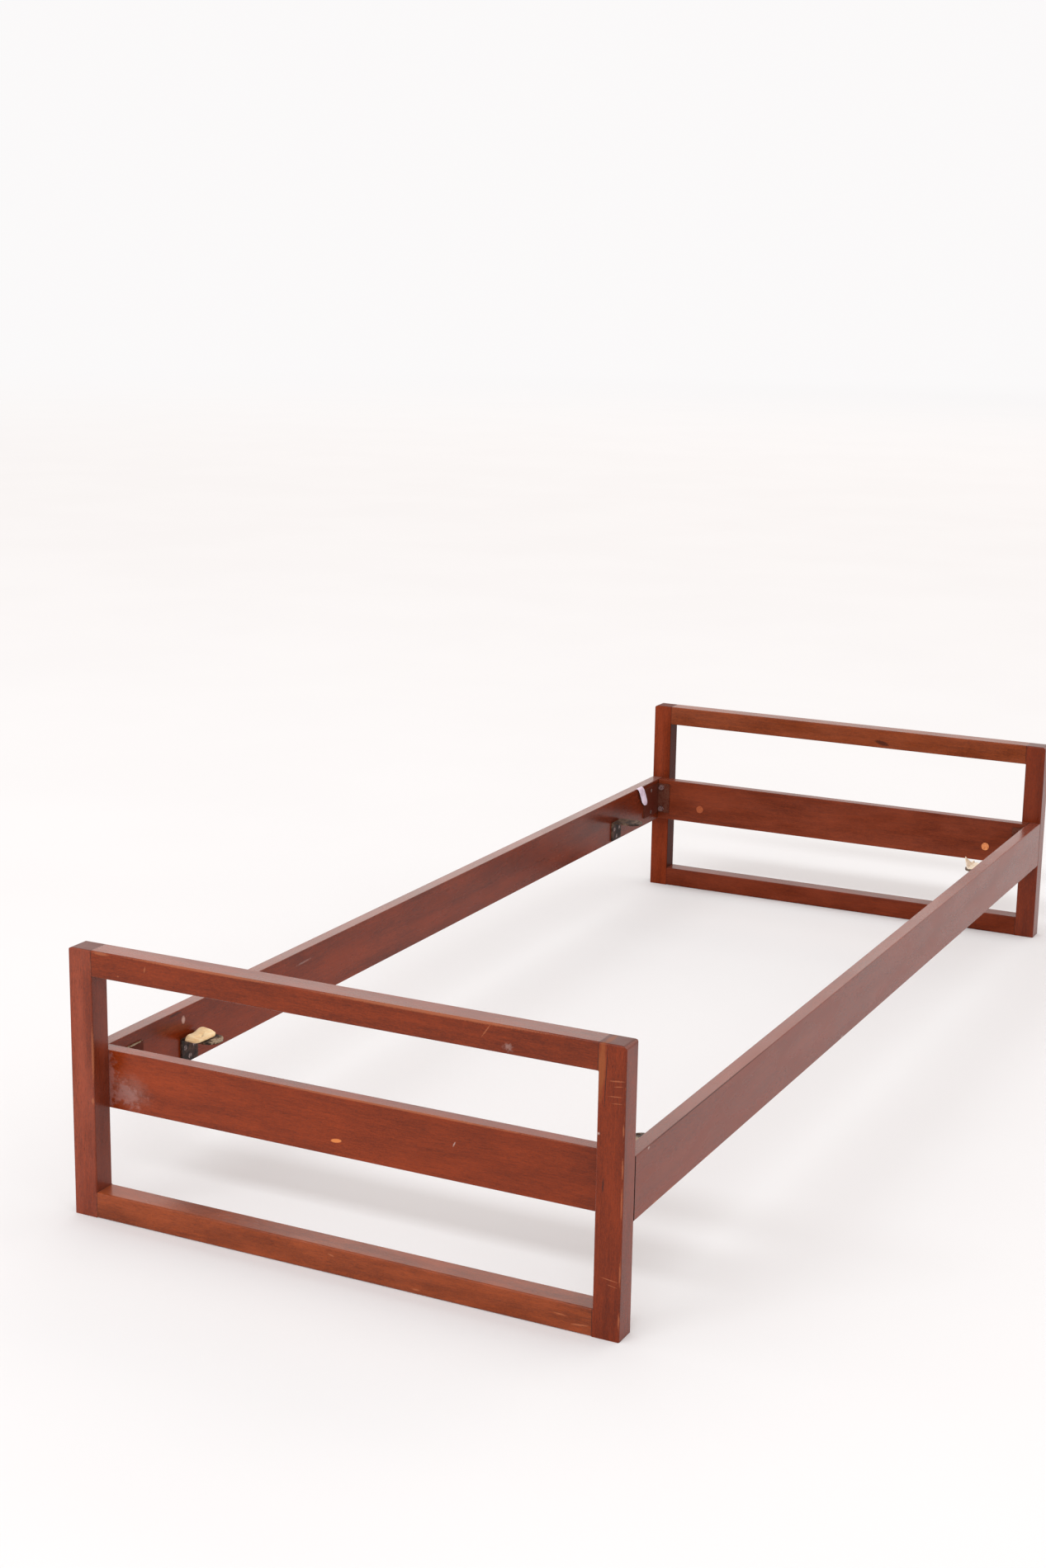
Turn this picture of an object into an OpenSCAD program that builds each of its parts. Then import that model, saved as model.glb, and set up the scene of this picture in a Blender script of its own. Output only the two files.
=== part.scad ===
/* [Bed] */
// Width over the posts
bed_width = 870; // [760:5:1200]
// Length over the two end frames
bed_length = 2130; // [1800:10:2300]
// Height of both end frames
end_height = 405; // [340:5:600]

/* [End frames] */
// Width of a post, seen from the end of the bed
post_width = 39; // [38:1:60]
// Depth of a post and of the two rails between the posts
post_depth = 38; // [34:1:60]
// Height of the top rail of an end frame
top_rail_height = 39; // [34:1:60]
// Height of the bottom rail of an end frame, which lies on the floor
bottom_rail_height = 39; // [34:1:60]
// Radius of the rounded long edges of the end frames
frame_arris = 2.5; // [1:0.5:5]
// Radius of the rounded outer top corners of an end frame
frame_corner = 6; // [3:0.5:10]

/* [Bed rails] */
// Height of the top edge of the four bed rails above the floor
rail_top = 245; // [220:5:290]
// Height of a side rail board
side_rail_height = 90; // [88:1:110]
// Thickness of a side rail board
side_rail_thickness = 23; // [20:1:25]
// Height of the board across each end frame
mid_rail_height = 88; // [84:1:110]
// Thickness of the board across each end frame
mid_rail_thickness = 23; // [18:1:28]
// Radius of the rounded edges of the bed rails
rail_arris = 1.5; // [0.5:0.5:4]
// Shadow gap between the end of a side rail and its post
rail_end_gap = 0.8; // [0.3:0.1:0.9]

/* [Dowels and plugs] */
// Diameter of the dowels that join rail and post
dowel_diameter = 10; // [8:1:12]
// Length of a dowel, half of it in each member
dowel_length = 46; // [36:2:56]
// Distance between the two dowels of a joint
dowel_spacing = 17; // [15:1:19]
// Diameter of the plugs in the boards across the ends
plug_diameter = 16; // [10:1:20]
// Half the distance between the two plugs of a board
plug_offset = 320; // [200:5:340]
// Distance of the pair of plugs from the middle of the board, towards the right
plug_shift = 9; // [0:1:20]
// Distance of a plug's centre below the top edge of the board
plug_drop = 57; // [45:1:65]
// Length of a plug in the wood
plug_depth = 12; // [6:1:14]
// Height of a plug above the wood
plug_proud = 1.5; // [0.5:0.5:3]

/* [Corner irons] */
// Length of the leg along the side rail
iron_side_leg = 78; // [64:1:110]
// Length of the leg on the board across the end
iron_end_leg = 28; // [24:1:50]
// Height of a corner iron
iron_height = 64; // [62:1:70]
// Distance from the top edge of the rails down to the corner irons at the foot
foot_iron_drop = 18; // [8:1:18]
// Distance from the top edge of the rails down to the corner irons at the head
head_iron_drop = 9; // [8:1:18]
// Thickness of the steel of a corner iron
iron_thickness = 3; // [2:0.5:3.5]
// Distance of the post bolts from the side rail's inner face
post_bolt_inset = 9.7; // [9.5:0.1:11.5]
// Distance between the two bolts or the two screws of a leg
iron_hole_spacing = 48; // [40:1:50]
// Distance of the rail screws from the end board's inner face
rail_screw_inset = 44; // [30:1:50]

/* [Support brackets] */
// Distance of a bracket's middle from the board across the end, at the foot on the left
foot_left_setback = 197; // [140:1:400]
// The same distance at the foot on the right
foot_right_setback = 143; // [140:1:400]
// The same distance at the head, on both sides
head_setback = 226; // [140:1:400]
// Width of a support bracket along the side rail
bracket_width = 42; // [42:1:56]
// Distance from the top edge of the rails down to the shelf
shelf_drop = 45; // [40:1:47]
// Height of the plate that is screwed to the side rail
bracket_plate_height = 42; // [40:1:43]
// Reach of the shelf from the side rail
shelf_reach = 60; // [52:1:80]
// Radius of the shelf's rounded corners
shelf_corner = 20; // [8:1:20]
// Thickness of the steel of a support bracket
bracket_thickness = 3.5; // [2.5:0.5:4]
// Diameter of the two holes near the tip of the shelf
shelf_hole_diameter = 6; // [4:0.5:6]
// Distance of the two holes from the tip of the shelf
shelf_hole_inset = 10; // [10:0.5:12]
// Distance between the two holes
shelf_hole_spacing = 22; // [14:1:22]
// Distance between the two upper screws of a bracket
bracket_screw_spacing = 24; // [20:1:28]
// Distance of the upper screws below the shelf
upper_screw_drop = 18; // [18:1:22]
// Distance of the lower screw above the plate's lower edge
lower_screw_rise = 8; // [6:0.5:9]

/* [Fasteners] */
// Shank diameter of the hexagon bolts into the posts
bolt_diameter = 6; // [5:0.5:6.5]
// Length of the bolts under the head
bolt_length = 50; // [40:1:56]
// Width across the flats of a bolt head
bolt_head_flats = 10; // [9:0.5:10.5]
// Height of a bolt head
bolt_head_height = 4; // [3:0.5:5]
// Outside diameter of the washers
washer_diameter = 12; // [11:0.5:12.5]
// Thickness of the washers
washer_thickness = 1.2; // [1:0.1:2]
// Shank diameter of the countersunk screws
screw_diameter = 4.5; // [4:0.5:5]
// Head diameter of the countersunk screws
screw_head_diameter = 8.4; // [8:0.2:9]
// Length of the countersunk screws
screw_length = 19; // [14:1:20]
// Width of the slot in a screw head
slot_width = 1.2; // [0.8:0.1:1.6]
// Space round bolts and washers in wood and steel
bolt_clearance = 0.3; // [0.2:0.1:0.5]
// Space round dowels, plugs and screws
fit_clearance = 0.1; // [0.05:0.05:0.2]

/* [Pads] */
// Thickness of a pad
pad_thickness = 3.5; // [2:0.5:6]
// Length of the flat pad along the side rail
flat_pad_length = 60; // [50:1:70]
// Distance from the bracket's middle to the flat pad's middle, towards the end of the bed
flat_pad_shift = 2; // [0:1:8]
// Width of the flat pad across the shelf
flat_pad_width = 38; // [30:1:44]
// Space between the flat pad and the side rail
flat_pad_inset = 6.5; // [6:0.5:12]
// Height of the fold across the flat pad
pad_fold = 2; // [0.5:0.5:4]
// Length of the curled pad along the side rail
curled_pad_length = 52; // [44:1:60]
// Distance from the bracket's middle to the curled pad's middle, towards the end of the bed
curled_pad_shift = 5; // [0:1:8]
// Width of the curled pad across the shelf
curled_pad_width = 37; // [26:1:40]
// Space between the curled pad and the side rail
curled_pad_inset = 21; // [10:0.5:28]
// Height of the curled sides of the pad
pad_curl = 23; // [4:1:26]

/* [Hidden] */

$fn = 48;
overcut = 1;
wood_colour = "#7d3423";
steel_colour = "#34322f";
bolt_colour = "#6b6866";
pad_colour = "#e6cfa4";
beech_colour = "#c98a5e";

// Everything is worked out for the right-hand corner at the head and mirrored from there
half_width = bed_width / 2;
half_length = bed_length / 2;
post_inner_x = half_width - post_width;
post_inner_y = half_length - post_depth;
post_centre_y = half_length - post_depth / 2;
rail_inner_x = half_width - side_rail_thickness;
board_inner_y = post_inner_y - mid_rail_thickness;
rail_end_y = post_inner_y - rail_end_gap;
top_dowel_z = end_height - top_rail_height / 2;
bottom_dowel_z = bottom_rail_height / 2;
dowel_end_space = 1;
dowel_chamfer = 1;
plug_z = rail_top - plug_drop;
plug_places = [plug_shift - plug_offset, plug_shift + plug_offset];
plug_chamfer = 0.5;

iron_bend = iron_thickness + 1;
bolt_x = rail_inner_x - post_bolt_inset;
bolt_seat_y = board_inner_y - iron_thickness - washer_thickness;
bolt_hole_end_y = bolt_seat_y + bolt_length + overcut;
iron_screw_y = board_inner_y - rail_screw_inset;

shelf_z = rail_top - shelf_drop;
plate_bottom_z = shelf_z - bracket_plate_height;
bracket_bend = bracket_thickness + 2;
shelf_hole_x = rail_inner_x - shelf_reach + shelf_hole_inset;
upper_screw_z = shelf_z - upper_screw_drop;
lower_screw_z = plate_bottom_z + lower_screw_rise;
bracket_screws = [
    [-bracket_screw_spacing / 2, upper_screw_z],
    [bracket_screw_spacing / 2, upper_screw_z],
    [0, lower_screw_z]
];
screw_head_height = (screw_head_diameter - screw_diameter) / 2;
slot_depth = screw_head_height / 2;

pad_seat = 0.3;
pad_columns = 12;
pad_rows = 16;
pad_draw_in = 0.05;
pad_edge_loss = 0.5;
pad_edge_power = 6;
fold_place = 0.75;
fold_slant = 0.5;
fold_spread = 0.16;
fold_at_rail = 0.4;
curl_power = 1.6;
curl_at_rail = 0.8;
curl_at_end = 0.3;
lip_height = 5;
lip_length = 0.35;

// Placing

module on_side(side) {
    $side = side;
    if (side == "right") children();
    else mirror([1, 0, 0]) children();
}

module at_end(end) {
    $end = end;
    if (end == "head") children();
    else mirror([0, 1, 0]) children();
}

module at_corner(end, side) {
    at_end(end) on_side(side) children();
}

module both_sides() {
    on_side("right") children();
    on_side("left") children();
}

module both_ends() {
    at_end("head") children();
    at_end("foot") children();
}

// Places that differ from corner to corner, for the corner that is being made

function iron_top_z() = rail_top - ($end == "foot" ? foot_iron_drop : head_iron_drop);
function iron_centre_z() = iron_top_z() - iron_height / 2;
function fastener_heights() =
    [iron_centre_z() - iron_hole_spacing / 2, iron_centre_z() + iron_hole_spacing / 2];
function foot_setback() = $side == "left" ? foot_left_setback : foot_right_setback;
function bracket_y() = board_inner_y - ($end == "foot" ? foot_setback() : head_setback);

// Wooden pieces

module rounded_rectangle(width, height, radius) {
    square([width - 2 * radius, height], center = true);
    square([width, height - 2 * radius], center = true);
    for (x = [-1, 1], y = [-1, 1])
        translate([x * (width / 2 - radius), y * (height / 2 - radius)]) circle(radius);
}

// A bar along X, centred, with its four long edges rounded
module rounded_bar(length, depth, height, radius) {
    rotate([90, 0, 90])
        translate([0, 0, -length / 2])
            linear_extrude(length) rounded_rectangle(depth, height, radius);
}

// What a rounding takes off a square edge that runs along Z
module arris_waste(length, radius) {
    difference() {
        translate([-overcut, -overcut, 0]) cube([radius + overcut, radius + overcut, length]);
        translate([radius, radius, -overcut]) cylinder(r = radius, h = length + 2 * overcut);
    }
}

module dowel_hole(x, z) {
    hole_depth = dowel_length / 2 + dowel_end_space;
    translate([x - hole_depth, post_centre_y, z])
        rotate([0, 90, 0]) cylinder(d = dowel_diameter + 2 * fit_clearance, h = 2 * hole_depth);
}

module joint_dowel_holes(z) {
    for (rise = [-1, 1]) dowel_hole(post_inner_x, z + rise * dowel_spacing / 2);
}

module bolt_hole(z, first_y, last_y, clearance) {
    translate([bolt_x, first_y, z])
        rotate([-90, 0, 0]) cylinder(d = bolt_diameter + 2 * clearance, h = last_y - first_y);
}

// A post from above: only its outer edges are rounded over the whole height
module post_plan() {
    translate([post_inner_x, post_inner_y]) square([post_width - frame_arris, post_depth]);
    translate([half_width - 2 * frame_arris, post_inner_y + frame_arris])
        square([2 * frame_arris, post_depth - 2 * frame_arris]);
    for (y = [post_inner_y + frame_arris, half_length - frame_arris])
        translate([half_width - frame_arris, y]) circle(frame_arris);
}

// A post from the end of the bed, with the round top corner
module post_front() {
    translate([post_inner_x, 0]) square([post_width, end_height - frame_corner]);
    translate([post_inner_x, 0]) square([post_width - frame_corner, end_height]);
    translate([half_width - frame_corner, end_height - frame_corner]) circle(frame_corner);
}

// A post from the side, with the top edges rounded as on the rail beside it
module post_side() {
    translate([post_inner_y, 0]) square([post_depth, end_height - frame_arris]);
    translate([post_inner_y + frame_arris, 0])
        square([post_depth - 2 * frame_arris, end_height]);
    for (y = [post_inner_y + frame_arris, half_length - frame_arris])
        translate([y, end_height - frame_arris]) circle(frame_arris);
}

module post() {
    opening_height = end_height - top_rail_height - bottom_rail_height;
    color(wood_colour) difference() {
        intersection() {
            linear_extrude(end_height) post_plan();
            translate([0, half_length + overcut, 0])
                rotate([90, 0, 0]) linear_extrude(post_depth + 2 * overcut) post_front();
            translate([post_inner_x - overcut, 0, 0])
                rotate([90, 0, 90]) linear_extrude(post_width + 2 * overcut) post_side();
        }
        translate([post_inner_x, post_inner_y, bottom_rail_height])
            arris_waste(opening_height, frame_arris);
        translate([post_inner_x, half_length, bottom_rail_height])
            mirror([0, 1, 0]) arris_waste(opening_height, frame_arris);
        joint_dowel_holes(top_dowel_z);
        joint_dowel_holes(bottom_dowel_z);
        for (z = fastener_heights())
            bolt_hole(z, post_inner_y - overcut, bolt_hole_end_y, fit_clearance);
    }
}

module frame_rail(height, z) {
    color(wood_colour)
        difference() {
            translate([0, post_centre_y, z])
                rounded_bar(2 * post_inner_x, post_depth, height, frame_arris);
            both_sides() joint_dowel_holes(z);
        }
}

module top_rail() {
    frame_rail(top_rail_height, top_dowel_z);
}

module bottom_rail() {
    frame_rail(bottom_rail_height, bottom_dowel_z);
}

module mid_rail() {
    color(wood_colour)
        difference() {
            translate([0, board_inner_y + mid_rail_thickness / 2, rail_top - mid_rail_height / 2])
                rounded_bar(2 * rail_inner_x, mid_rail_thickness, mid_rail_height, rail_arris);
            both_sides()
                for (z = fastener_heights())
                    bolt_hole(z, board_inner_y - overcut, post_inner_y + overcut, bolt_clearance);
            for (x = plug_places)
                translate([x, board_inner_y - overcut, plug_z])
                    rotate([-90, 0, 0])
                        cylinder(d = plug_diameter + 2 * fit_clearance, h = plug_depth + overcut);
        }
}

module side_rail() {
    color(wood_colour)
        difference() {
            translate([half_width - side_rail_thickness / 2, 0, rail_top - side_rail_height / 2])
                rotate([0, 0, 90])
                    rounded_bar(2 * rail_end_y, side_rail_thickness, side_rail_height, rail_arris);
            both_ends() {
                iron_screw_places() screw_space();
                bracket_screw_places() screw_space();
            }
        }
}

module rail_plugs() {
    color(beech_colour)
        for (x = plug_places)
            translate([x, board_inner_y - plug_proud, plug_z])
                rotate([-90, 0, 0]) {
                    cylinder(d1 = plug_diameter - 2 * plug_chamfer, d2 = plug_diameter, h = plug_chamfer);
                    translate([0, 0, plug_chamfer])
                        cylinder(d = plug_diameter, h = plug_proud + plug_depth - plug_chamfer);
                }
}

module dowel() {
    narrow = dowel_diameter - 2 * dowel_chamfer;
    body_length = dowel_length - 2 * dowel_chamfer;
    rotate([0, 90, 0]) {
        translate([0, 0, -dowel_length / 2])
            cylinder(d1 = narrow, d2 = dowel_diameter, h = dowel_chamfer);
        cylinder(d = dowel_diameter, h = body_length, center = true);
        translate([0, 0, body_length / 2])
            cylinder(d1 = dowel_diameter, d2 = narrow, h = dowel_chamfer);
    }
}

module frame_dowels() {
    color(beech_colour)
        both_sides()
            for (z = [top_dowel_z, bottom_dowel_z], rise = [-1, 1])
                translate([post_inner_x, post_centre_y, z + rise * dowel_spacing / 2]) dowel();
}

// Steel pieces

// A rectangle from the origin with the corner at the origin rounded
module bent_corner(width, length, radius) {
    translate([radius, 0]) square([width - radius, length]);
    translate([0, radius]) square([width, length - radius]);
    translate([radius, radius]) circle(radius);
}

module corner_iron() {
    color(steel_colour)
        difference() {
            translate([rail_inner_x, board_inner_y, iron_top_z() - iron_height])
                rotate([0, 0, 180])
                    linear_extrude(iron_height)
                        difference() {
                            bent_corner(iron_end_leg, iron_side_leg, iron_bend);
                            translate([iron_thickness, iron_thickness])
                                bent_corner(iron_end_leg, iron_side_leg, iron_bend - iron_thickness);
                        }
            for (z = fastener_heights())
                bolt_hole(z, board_inner_y - iron_thickness - overcut, board_inner_y + overcut,
                    bolt_clearance);
            iron_screw_places() screw_space();
        }
}

module bracket_profile() {
    bent_corner(bracket_plate_height, shelf_reach, bracket_bend);
}

module bracket_plan() {
    translate([0, -bracket_width / 2])
        square([shelf_reach - shelf_corner, bracket_width]);
    translate([0, shelf_corner - bracket_width / 2])
        square([shelf_reach, bracket_width - 2 * shelf_corner]);
    for (y = [-1, 1])
        translate([shelf_reach - shelf_corner, y * (bracket_width / 2 - shelf_corner)])
            circle(shelf_corner);
}

// An angle of bent steel with its shelf on top and the plate against the rail
module bracket() {
    color(steel_colour)
        difference() {
            translate([rail_inner_x, bracket_y(), 0])
                rotate([0, 0, 180])
                    intersection() {
                        translate([0, bracket_width / 2, shelf_z])
                            rotate([90, 90, 0])
                                linear_extrude(bracket_width)
                                    difference() {
                                        bracket_profile();
                                        translate([bracket_thickness, bracket_thickness])
                                            bent_corner(bracket_plate_height, shelf_reach,
                                                bracket_bend - bracket_thickness);
                                    }
                        translate([0, 0, plate_bottom_z - overcut])
                            linear_extrude(bracket_plate_height + 2 * overcut) bracket_plan();
                    }
            for (y = [-1, 1] * shelf_hole_spacing / 2)
                translate([shelf_hole_x, bracket_y() + y, shelf_z - bracket_thickness - overcut])
                    cylinder(d = shelf_hole_diameter, h = bracket_thickness + 2 * overcut);
            bracket_screw_places() screw_space();
        }
}

// Fasteners, each with its head at the origin and its tip towards +Z

module bolt() {
    tip = bolt_diameter / 4;
    translate([0, 0, -bolt_head_height])
        cylinder(d = bolt_head_flats / cos(30), h = bolt_head_height, $fn = 6);
    cylinder(d = bolt_diameter, h = bolt_length - tip);
    translate([0, 0, bolt_length - tip])
        cylinder(d1 = bolt_diameter, d2 = bolt_diameter - 2 * tip, h = tip);
}

module washer() {
    difference() {
        cylinder(d = washer_diameter, h = washer_thickness);
        translate([0, 0, -overcut])
            cylinder(d = bolt_diameter + 2 * bolt_clearance, h = washer_thickness + 2 * overcut);
    }
}

module screw() {
    difference() {
        screw_body(screw_head_diameter, screw_diameter, screw_length);
        cube([screw_head_diameter + overcut, slot_width, 2 * slot_depth], center = true);
    }
}

module screw_body(head, shank, length) {
    cylinder(d1 = head, d2 = shank, h = screw_head_height);
    translate([0, 0, screw_head_height])
        cylinder(d = shank, h = length - screw_head_height);
}

// The countersunk hole that a screw goes through
module screw_space() {
    wider = 2 * fit_clearance;
    translate([0, 0, -overcut])
        cylinder(d = screw_head_diameter + wider, h = overcut);
    screw_body(screw_head_diameter + wider, screw_diameter + wider, screw_length + overcut);
}

module iron_screw_places() {
    for (z = fastener_heights())
        translate([rail_inner_x - iron_thickness, iron_screw_y, z]) rotate([0, 90, 0]) children();
}

module bracket_screw_places() {
    for (place = bracket_screws)
        translate([rail_inner_x - bracket_thickness, bracket_y() + place[0], place[1]])
            rotate([0, 90, 0]) children();
}

module bolt_places(y) {
    both_sides()
        for (z = fastener_heights())
            translate([bolt_x, y, z]) rotate([-90, 0, 0]) children();
}

module post_bolts() {
    color(bolt_colour) bolt_places(bolt_seat_y) bolt();
}

module bolt_washers() {
    color(bolt_colour) bolt_places(bolt_seat_y) washer();
}

module iron_screws() {
    color(bolt_colour) both_ends() iron_screw_places() screw();
}

module bracket_screw_set() {
    color(bolt_colour) both_ends() bracket_screw_places() screw();
}

// Pads of leather on the shelves. u runs from 0 to 1 across the shelf, away from the side rail,
// and v from 0 to 1 along the side rail, towards the end of the bed

function ease(t) = t * t * (3 - 2 * t);
function bell(t, middle, spread) = exp(-pow((t - middle) / spread, 2));
function between(a, b, t) = a + (b - a) * t;

// The flat pad is folded once, along a line that runs slantwise over it
function fold_lift(u, v) =
    pad_fold * bell(v + fold_slant * u, fold_place, fold_spread) * between(fold_at_rail, 1, u);

// The curled pad turns both long sides up, less towards the end of the bed
function curl_lift(u, v) =
    pad_curl * pow(abs(2 * u - 1), curl_power) * (u < 0.5 ? curl_at_rail : 1)
    * between(1, curl_at_end, ease(v));

// Its edge towards the middle of the bed is turned up over the whole width
function lip_lift(v) = lip_height * ease(max(0, 1 - v / lip_length));

function pad_lift(u, v, curled) = curled ? max(curl_lift(u, v), lip_lift(v)) : fold_lift(u, v);

function drawn_in(u, v, width) = (u - 0.5) * width * (1 - pad_draw_in * (1 - pow(2 * v - 1, 2)));

// Thinner towards the edges, as soft leather is
function pad_height(u, v) =
    pad_thickness * (1 - pad_edge_loss * pow(max(abs(2 * u - 1), abs(2 * v - 1)), pad_edge_power));

function pad_point(u, v, size, curled, top) = [
    drawn_in(u, v, size[0]),
    drawn_in(v, u, size[1]),
    pad_lift(u, v, curled) + (top ? pad_height(u, v) : 0)
];

function pad_layer(size, curled, top) = [
    for (j = [0:pad_rows], i = [0:pad_columns])
        pad_point(i / pad_columns, j / pad_rows, size, curled, top)
];

function pad_index(i, j, top) = (top ? (pad_columns + 1) * (pad_rows + 1) : 0)
    + j * (pad_columns + 1) + i;

function two_triangles(a, b, c, d) = [[a, b, c], [a, c, d]];

module pad_solid(size, curled) {
    points = concat(pad_layer(size, curled, false), pad_layer(size, curled, true));
    last_i = pad_columns;
    last_j = pad_rows;
    faces = [
        for (j = [0:last_j - 1], i = [0:last_i - 1], top = [false, true])
            let (
                a = pad_index(i, j, top),
                b = pad_index(i + 1, j, top),
                c = pad_index(i + 1, j + 1, top),
                d = pad_index(i, j + 1, top)
            )
                each (top ? two_triangles(d, c, b, a) : two_triangles(a, b, c, d)),
        for (i = [0:last_i - 1], side = [0, 1])
            let (
                j = side * last_j,
                a = pad_index(i, j, false),
                b = pad_index(i + 1, j, false),
                c = pad_index(i + 1, j, true),
                d = pad_index(i, j, true)
            )
                each (side == 0 ? two_triangles(d, c, b, a) : two_triangles(a, b, c, d)),
        for (j = [0:last_j - 1], side = [0, 1])
            let (
                i = side * last_i,
                a = pad_index(i, j, false),
                b = pad_index(i, j + 1, false),
                c = pad_index(i, j + 1, true),
                d = pad_index(i, j, true)
            )
                each (side == 0 ? two_triangles(a, b, c, d) : two_triangles(d, c, b, a))
    ];
    polyhedron(points, faces);
}

module pad(size, inset, shift, curled) {
    color(pad_colour)
        translate([rail_inner_x - inset - size[0] / 2, bracket_y() + shift, shelf_z + pad_seat])
            mirror([1, 0, 0]) pad_solid(size, curled);
}

module flat_pad() {
    pad([flat_pad_width, flat_pad_length], flat_pad_inset, flat_pad_shift, false);
}

module curled_pad() {
    pad([curled_pad_width, curled_pad_length], curled_pad_inset, curled_pad_shift, true);
}

at_corner("foot", "left") post();  // foot_left_post
at_corner("foot", "right") post();  // foot_right_post
at_end("foot") top_rail();  // foot_top_rail
at_end("foot") bottom_rail();  // foot_bottom_rail
at_end("foot") mid_rail();  // foot_mid_rail
at_corner("head", "left") post();  // head_left_post
at_corner("head", "right") post();  // head_right_post
at_end("head") top_rail();  // head_top_rail
at_end("head") bottom_rail();  // head_bottom_rail
at_end("head") mid_rail();  // head_mid_rail
on_side("left") side_rail();  // left_side_rail
on_side("right") side_rail();  // right_side_rail
at_corner("foot", "left") corner_iron();  // foot_left_corner_iron
at_corner("foot", "right") corner_iron();  // foot_right_corner_iron
at_corner("head", "left") corner_iron();  // head_left_corner_iron
at_corner("head", "right") corner_iron();  // head_right_corner_iron
at_corner("foot", "left") bracket();  // foot_left_bracket
at_corner("foot", "right") bracket();  // foot_right_bracket
at_corner("head", "left") bracket();  // head_left_bracket
at_corner("head", "right") bracket();  // head_right_bracket
at_corner("foot", "left") flat_pad();  // foot_left_pad
at_corner("head", "right") curled_pad();  // head_right_pad
at_end("foot") post_bolts();  // foot_post_bolts
at_end("head") post_bolts();  // head_post_bolts
at_end("foot") bolt_washers();  // foot_bolt_washers
at_end("head") bolt_washers();  // head_bolt_washers
on_side("left") iron_screws();  // left_iron_screws
on_side("right") iron_screws();  // right_iron_screws
on_side("left") bracket_screw_set();  // left_bracket_screws
on_side("right") bracket_screw_set();  // right_bracket_screws
at_end("foot") frame_dowels();  // foot_frame_dowels
at_end("head") frame_dowels();  // head_frame_dowels
at_end("foot") rail_plugs();  // foot_rail_plugs
at_end("head") rail_plugs();  // head_rail_plugs
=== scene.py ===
"""Looks, light and camera for the single bed frame.

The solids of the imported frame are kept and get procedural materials. The two leather pads
are modelled here and stand for the plain pads of the frame, and one small paper strip is
added. The axes are the frame's own: +X to the right-hand side rail seen from the foot, +Y from
foot to head, +Z up. Places are in metres, or in millimetres where a comment says so.
"""
import math
import random

import bpy
from mathutils import Matrix, Vector, noise


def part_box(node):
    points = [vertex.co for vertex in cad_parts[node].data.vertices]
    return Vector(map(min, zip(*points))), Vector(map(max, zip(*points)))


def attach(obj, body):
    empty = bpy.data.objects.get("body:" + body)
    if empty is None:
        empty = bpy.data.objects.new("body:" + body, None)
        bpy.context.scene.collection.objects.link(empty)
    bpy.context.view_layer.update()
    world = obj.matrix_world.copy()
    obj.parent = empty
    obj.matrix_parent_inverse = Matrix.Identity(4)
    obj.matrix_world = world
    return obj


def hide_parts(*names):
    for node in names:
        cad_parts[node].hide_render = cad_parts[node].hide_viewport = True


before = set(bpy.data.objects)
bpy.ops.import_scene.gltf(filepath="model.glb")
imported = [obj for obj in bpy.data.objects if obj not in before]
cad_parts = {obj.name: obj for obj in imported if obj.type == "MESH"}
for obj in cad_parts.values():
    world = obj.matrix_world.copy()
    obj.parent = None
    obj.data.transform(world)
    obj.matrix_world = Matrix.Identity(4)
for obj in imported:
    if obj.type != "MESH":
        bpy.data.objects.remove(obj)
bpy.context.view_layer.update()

MM = 0.001
# Most values of a noise lie between these two
NOISE_SPREAD = (0.3, 0.7)

# Camera, fitted to the photograph together with the sizes of the bed
CAMERA_PLACE = (1.54419, -3.60172, 1.37994)
CAMERA_RIGHT = (0.8936, 0.44856, 0.01637)
CAMERA_DOWN = (0.11502, -0.1936, -0.97432)
CAMERA_FORWARD = (-0.43387, 0.87253, -0.22459)
CAMERA_FOCAL_PIXELS = 2805.67
PHOTO_HEIGHT = 1900
SENSOR = 36.0
CLIP_END = 100.0

# Light: a pale world, a wide key light at the foot and a wide, warm one behind the head
WORLD_COLOUR = (1.0, 0.985, 0.985, 1.0)
WORLD_LIGHT = 0.965
KEY_POWER = 1750.0
KEY_COLOUR = (0.93, 1.0, 1.05)
KEY_ELEVATION = 41.0
KEY_DISTANCE = 20.0
KEY_SIZE = (24.0, 2.4)
BACK_POWER = 1080.0
BACK_COLOUR = (1.0, 0.91, 0.83)
BACK_PLACE = (0.0, 20.0, 9.0)
BACK_SIZE = (36.0, 10.0)

# Floor: a round sheet whose middle is solid and whose outer part fades into the world
FLOOR_RINGS = (1.5, 4.0, 10.0, 30.0)
FLOOR_CORNERS = 96
FLOOR_DROP = 0.0002
FLOOR_FADE = (6.0, 24.0)
FLOOR_PALE = (0.822, 0.799, 0.788, 1.0)
FLOOR_DULL = (0.812, 0.788, 0.777, 1.0)


def linear(red, green, blue):
    """The linear colour for an sRGB colour given as 0 to 255."""
    out = []
    for value in (red / 255, green / 255, blue / 255):
        out.append(value / 12.92 if value <= 0.04045 else ((value + 0.055) / 1.055) ** 2.4)
    return (*out, 1.0)


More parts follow.
